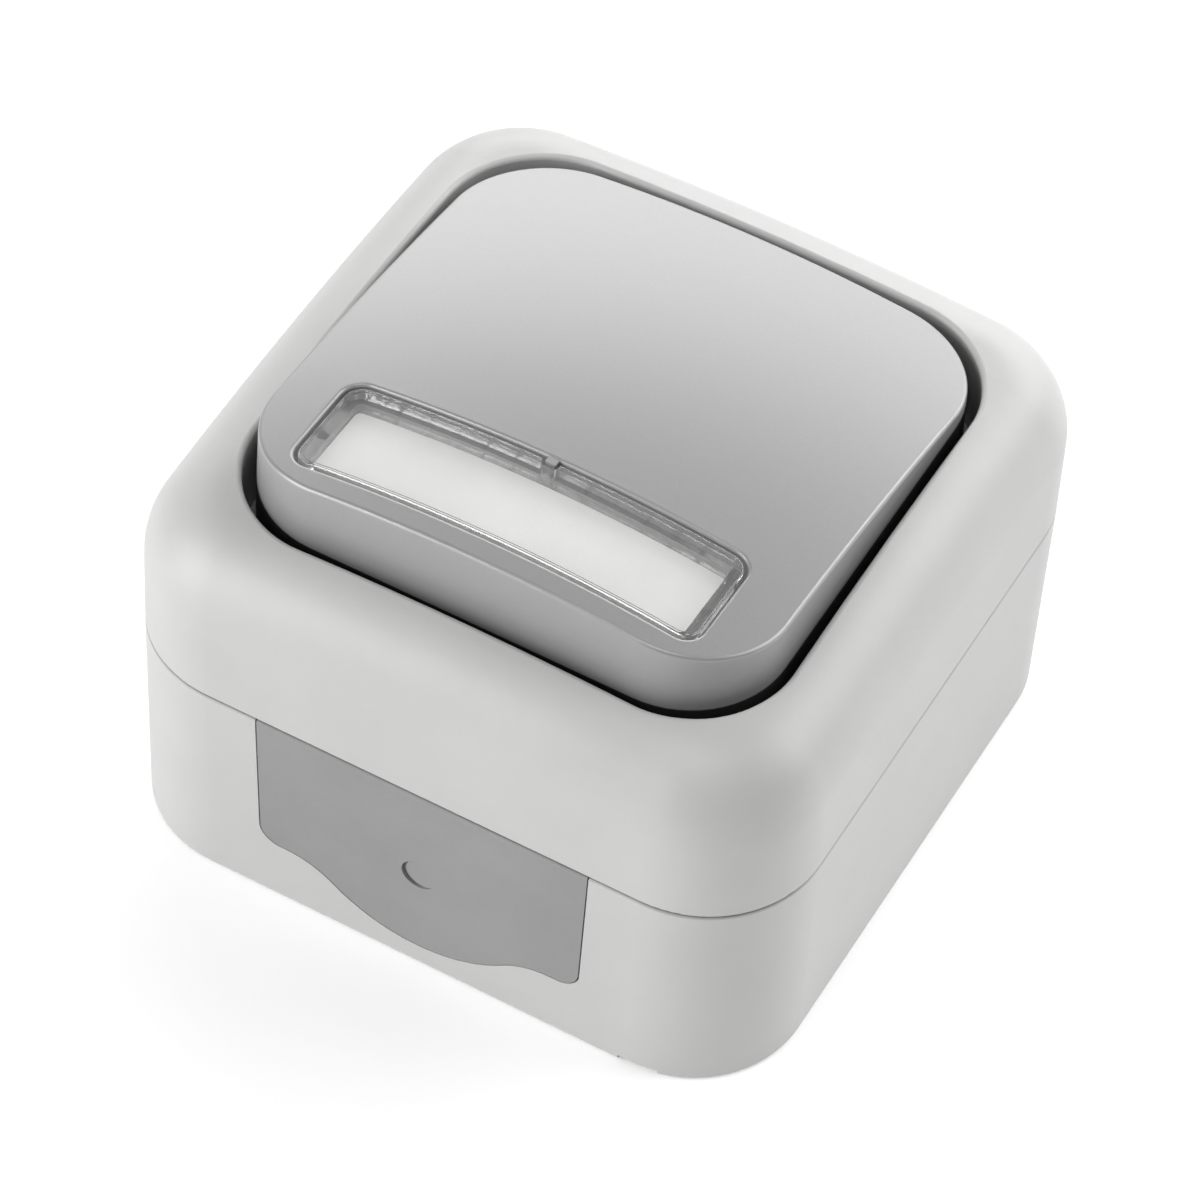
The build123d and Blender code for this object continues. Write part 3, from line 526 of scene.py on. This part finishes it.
for side in range(boot_sides):
    turn = 2 * pi * side / boot_sides
    for reach, height in boot_outline:
        boot_points.append((reach * cos(turn), boot_middle.y + reach * sin(turn), height))
    near = side * outline_size
    far = (side + 1) % boot_sides * outline_size
    for number in range(outline_size):
        after = (number + 1) % outline_size
        boot_faces.append((near + number, far + number, far + after, near + after))
folded_boot = new_piece("folded_plunger_boot", boot_points, boot_faces, gasket_rubber)
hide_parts("plunger_boot")
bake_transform(folded_boot)

# Mechanism frame: the plate that closes the box and carries the rocker on two bearing cheeks. It
# is moulded in dark grey plastic with short glass fibres, which show as fine pale flecks.
frame_dark = (0.09, 0.09, 0.1, 1.0)
frame_light = (0.14, 0.14, 0.15, 1.0)
frame_rough = (0.45, 0.62)
frame_grain = 0.0003
frame_depth = 0.000012

frame_plastic = moulded_finish(
    "frame_plastic", frame_dark, frame_light, frame_rough, frame_grain, frame_depth
)
dress(frame_plastic, "mechanism_frame")

# Screws: stainless screws with flat round heads and cross slots hold the frame to the box and the
# cover to its corner pillars. Their heads are turned, and their shanks have a rolled thread.
steel_bright = (0.68, 0.68, 0.67, 1.0)
steel_dull = (0.5, 0.5, 0.49, 1.0)
steel_rough = (0.2, 0.36)
thread_pitch = 0.0011
thread_depth = 0.00022
turning_size = 0.00012
turning_share = 0.02
turning_low = 0.3
turning_high = 0.7
head_thickness = 0.0018
head_radius = 0.0028

# The surface of a screw: a thread below the head, and the rings of the turning tool. The screws
# stand in mirrored places, so one axis is given, and its signs follow the place.
turned, turned_in, turned_out = new_effect(
    "turned_screw",
    [
        ("Place", "NodeSocketVector", (0.0, 0.0, 0.0)),
        ("Axis x", "NodeSocketFloat", 0.0),
        ("Axis y", "NodeSocketFloat", 0.0),
        ("Head bottom", "NodeSocketFloat", 0.0),
        ("Pitch", "NodeSocketFloat", thread_pitch),
    ],
    ["Thread", "Turning"],
)
turned_split = turned.nodes.new("ShaderNodeSeparateXYZ")
turned.links.new(turned_in.outputs["Place"], turned_split.inputs[0])
from_axis = []
for side in ("x", "y"):
    here = turned_split.outputs[side.upper()]
    half = calculate(turned, "SIGN", here)
    mirrored = calculate(turned, "MULTIPLY", half, turned_in.outputs["Axis " + side])
    from_axis.append(calculate(turned, "SUBTRACT", here, mirrored))
squares = [calculate(turned, "MULTIPLY", value, value) for value in from_axis]
radius = calculate(turned, "SQRT", calculate(turned, "ADD", *squares))
angle = calculate(turned, "ARCTAN2", from_axis[1], from_axis[0])
pitches = calculate(turned, "DIVIDE", turned_split.outputs["Z"], turned_in.outputs["Pitch"])
helix = calculate(turned, "SUBTRACT", pitches, calculate(turned, "DIVIDE", angle, 2 * pi))
half_pitch = 0.5
ridge = calculate(turned, "PINGPONG", helix, half_pitch)
full_ridge = calculate(turned, "MULTIPLY", ridge, 1 / half_pitch)
on_shank = calculate(turned, "LESS_THAN", turned_split.outputs["Z"], turned_in.outputs["Head bottom"])
turned.links.new(calculate(turned, "MULTIPLY", full_ridge, on_shank), turned_out.inputs["Thread"])
turning = turned.nodes.new("ShaderNodeTexNoise")
turning.noise_dimensions = "1D"
turning.inputs["Scale"].default_value = 1 / turning_size
turned.links.new(radius, turning.inputs["W"])
turned.links.new(turning.outputs["Fac"], turned_out.inputs["Turning"])


def screw_finish(name, axis_x, axis_y, head_bottom, lie=0.0):
    settings = {"Axis x": axis_x, "Axis y": axis_y, "Head bottom": head_bottom}
    finish, shader, texture = new_finish(name, turned, settings)
    tree = finish.node_tree
    place = tree.nodes.new("ShaderNodeTexCoord")
    stand = tree.nodes.new("ShaderNodeMapping")
    stand.inputs["Rotation"].default_value = (lie, 0.0, 0.0)
    tree.links.new(place.outputs["Object"], stand.inputs["Vector"])
    tree.links.new(stand.outputs["Vector"], texture.inputs["Place"])
    rings = texture.outputs["Turning"]
    tree.links.new(tint(tree, rings, steel_dull, steel_bright), shader.inputs["Base Color"])
    roughness = stretch(tree, rings, turning_low, turning_high, *steel_rough)
    tree.links.new(roughness, shader.inputs["Roughness"])
    shader.inputs["Metallic"].default_value = 1.0
    grooves = calculate(tree, "MULTIPLY", rings, turning_share)
    height = calculate(tree, "ADD", texture.outputs["Thread"], grooves)
    emboss(tree, height, thread_depth, shader)
    return finish


for name in ("cover_screws", "frame_screws"):
    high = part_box(name)[1]
    axis_x = high.x - head_radius
    axis_y = high.y - head_radius
    dress(screw_finish(name + "_steel", axis_x, axis_y, high.z - head_thickness), name)

# Terminal screws: one small screw in each clamp, lying along the wall, that presses the bell wire
# against the brass. They are stainless too, and their heads face down the wall.
terminal_head = 0.0015
for name in ("terminal_screw_left", "terminal_screw_right"):
    low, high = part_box(name)
    middle = (low + high) / 2
    head_bottom = high.y - terminal_head
    dress(screw_finish(name + "_steel", abs(middle.x), middle.z, head_bottom, lie=radians(90)), name)

# Front cover: the domed half of the housing, with its rolled shoulder and the square well for the
# button. It is moulded in the same light grey plastic and grain as the back box.
dress(housing_plastic, "front_cover")

# Rocker actuator: the lever under the button. It turns on two pins in the frame, and its arm
# presses the push rod. It is moulded in the same smooth plastic as the rod.
dress(lever_plastic, "rocker_actuator")

# Button cap: the wide push face, sprayed with satin silver lacquer. The foot of its skirt is painted
# black and the pocket of the window dark grey, as painted shade for the gap around the cap and the
# window's recess.
silver_low = (0.295, 0.295, 0.295, 1.0)
silver_high = (0.335, 0.335, 0.335, 1.0)
skirt_foot_shade = (0.012, 0.012, 0.012, 1.0)
pocket_shade = (0.14, 0.14, 0.14, 1.0)
lacquer_metal = 0.32
lacquer_gloss = 0.3
lacquer_rough = (0.3, 0.36)
flake_size = 0.00009
peel_size = 0.0016
peel_depth = 0.0000012
shade_foot_top = 0.0436
shade_foot_fade = 0.0002
pocket_edge = 0.00035
pocket_margin = 0.00005

face_middle = 0.05067
face_slope = radians(6.84)
cross_radius = 0.152
long_radius = 0.284
window_length = 0.0433
window_width = 0.0123
window_shift = -0.01845

silver_lacquer, cap_shader, cap_texture = new_finish(
    "silver_lacquer", moulded, {"Grain size": flake_size, "Cloud size": peel_size}
)
cap_tree = silver_lacquer.node_tree
cap_place = cap_tree.nodes.new("ShaderNodeTexCoord")
cap_split = cap_tree.nodes.new("ShaderNodeSeparateXYZ")
cap_tree.links.new(cap_place.outputs["Object"], cap_split.inputs[0])
cap_x = cap_split.outputs["X"]
cap_y = cap_split.outputs["Y"]
cap_z = cap_split.outputs["Z"]


def cap_step(operation, *values):
    return calculate(cap_tree, operation, *values)


# The pocket is what lies a little under the domed face, inside the window's outline. The face
# slopes, so the place is turned into it first: along the slope, and out of the face.
face_rise = cap_step("SUBTRACT", cap_z, face_middle)
along_y = cap_step("MULTIPLY", cap_y, cos(face_slope))
along_z = cap_step("MULTIPLY", face_rise, sin(face_slope))
along = cap_step("SUBTRACT", along_y, along_z)
out_y = cap_step("MULTIPLY", cap_y, sin(face_slope))
out_z = cap_step("MULTIPLY", face_rise, cos(face_slope))
out = cap_step("ADD", out_y, out_z)
cross_drop = cap_step("DIVIDE", cap_step("MULTIPLY", cap_x, cap_x), 2 * cross_radius)
long_drop = cap_step("DIVIDE", cap_step("MULTIPLY", along, along), 2 * long_radius)
above_face = cap_step("ADD", cap_step("ADD", out, cross_drop), long_drop)
depth = cap_step("MULTIPLY", above_face, -1.0)
from_middle = cap_step("ABSOLUTE", cap_x)
across_window = cap_step("LESS_THAN", from_middle, window_length / 2 + pocket_margin)
from_window = cap_step("ABSOLUTE", cap_step("SUBTRACT", along, window_shift))
along_window = cap_step("LESS_THAN", from_window, window_width / 2 + pocket_margin)
in_window = cap_step("MULTIPLY", across_window, along_window)
# Painted shade: inside the pocket the silver gives way to dark grey, for the shade in the window's
# recess.
in_shaded_pocket = cap_step("MULTIPLY", in_window, cap_step("GREATER_THAN", depth, pocket_edge))
# Painted shade: below this height the skirt turns black instead of silver, for the shade down in the
# gap around the cap.
above_shade_foot = stretch(cap_tree, cap_z, shade_foot_top, shade_foot_top + shade_foot_fade)
# The silver and its metal show only outside both painted shades.
unshaded_silver = cap_step("MULTIPLY", above_shade_foot, cap_step("SUBTRACT", 1.0, in_shaded_pocket))

silver = tint(cap_tree, cap_texture.outputs["Grain"], silver_low, silver_high)
painted_shade_color = tint(cap_tree, in_shaded_pocket, skirt_foot_shade, pocket_shade)
shade_over_silver = cap_tree.nodes.new("ShaderNodeMixRGB")
cap_tree.links.new(unshaded_silver, shade_over_silver.inputs["Fac"])
cap_tree.links.new(painted_shade_color, shade_over_silver.inputs["Color1"])
cap_tree.links.new(silver, shade_over_silver.inputs["Color2"])
cap_tree.links.new(shade_over_silver.outputs["Color"], cap_shader.inputs["Base Color"])
metal = cap_step("MULTIPLY", unshaded_silver, lacquer_metal)
cap_tree.links.new(metal, cap_shader.inputs["Metallic"])
cap_rough = stretch(cap_tree, cap_texture.outputs["Grain"], 0.0, 1.0, *lacquer_rough)
cap_tree.links.new(cap_rough, cap_shader.inputs["Roughness"])
cap_shader.inputs["Specular IOR Level"].default_value = lacquer_gloss
emboss(cap_tree, cap_texture.outputs["Clouds"], peel_depth, cap_shader)
dress(silver_lacquer, "rocker_cap")

# Name card: a plain pale card under the window, punched from matt board and blank here. It shows
# the faint fibres of the board.
card_dark = (0.63, 0.63, 0.62, 1.0)
card_light = (0.69, 0.69, 0.68, 1.0)
card_rough = (0.7, 0.85)
card_grain = 0.0002
card_depth = 0.000006
card_gloss = 0.2

card_stock = moulded_finish(
    "card_stock", card_dark, card_light, card_rough, card_grain, card_depth, gloss=card_gloss
)
dress(card_stock, "name_label")

# Name window: a clear moulded lens that clips into the cap over the card. Its plate is polished,
# and only fine wiping marks break its gloss.
window_color = (0.97, 0.975, 0.97, 1.0)
window_rough = (0.02, 0.07)
window_clearness = 0.94
window_bending = 1.49
wipe_size = 0.0012
wipe_low = 0.3
wipe_high = 0.9

window_clear, window_shader, window_texture = new_finish(
    "window_clear", moulded, {"Grain size": wipe_size}
)
window_tree = window_clear.node_tree
wipes = stretch(window_tree, window_texture.outputs["Grain"], wipe_low, wipe_high, *window_rough)
window_tree.links.new(wipes, window_shader.inputs["Roughness"])
window_shader.inputs["Base Color"].default_value = window_color
window_shader.inputs["Transmission Weight"].default_value = window_clearness
window_shader.inputs["IOR"].default_value = window_bending

# Light that falls on the card goes straight through the lens, so that the card isn't in its shadow.
window_ray = window_tree.nodes.new("ShaderNodeLightPath")
window_open = window_tree.nodes.new("ShaderNodeBsdfTransparent")
window_choice = window_tree.nodes.new("ShaderNodeMixShader")
shadow_ray = window_ray.outputs["Is Shadow Ray"]
diffuse_ray = window_ray.outputs["Is Diffuse Ray"]
lamp_ray = calculate(window_tree, "MAXIMUM", shadow_ray, diffuse_ray)
window_end = window_tree.nodes["Material Output"]
window_tree.links.new(lamp_ray, window_choice.inputs[0])
window_tree.links.new(window_shader.outputs[0], window_choice.inputs[1])
window_tree.links.new(window_open.outputs[0], window_choice.inputs[2])
window_tree.links.new(window_choice.outputs[0], window_end.inputs["Surface"])
dress(window_clear, "label_window")
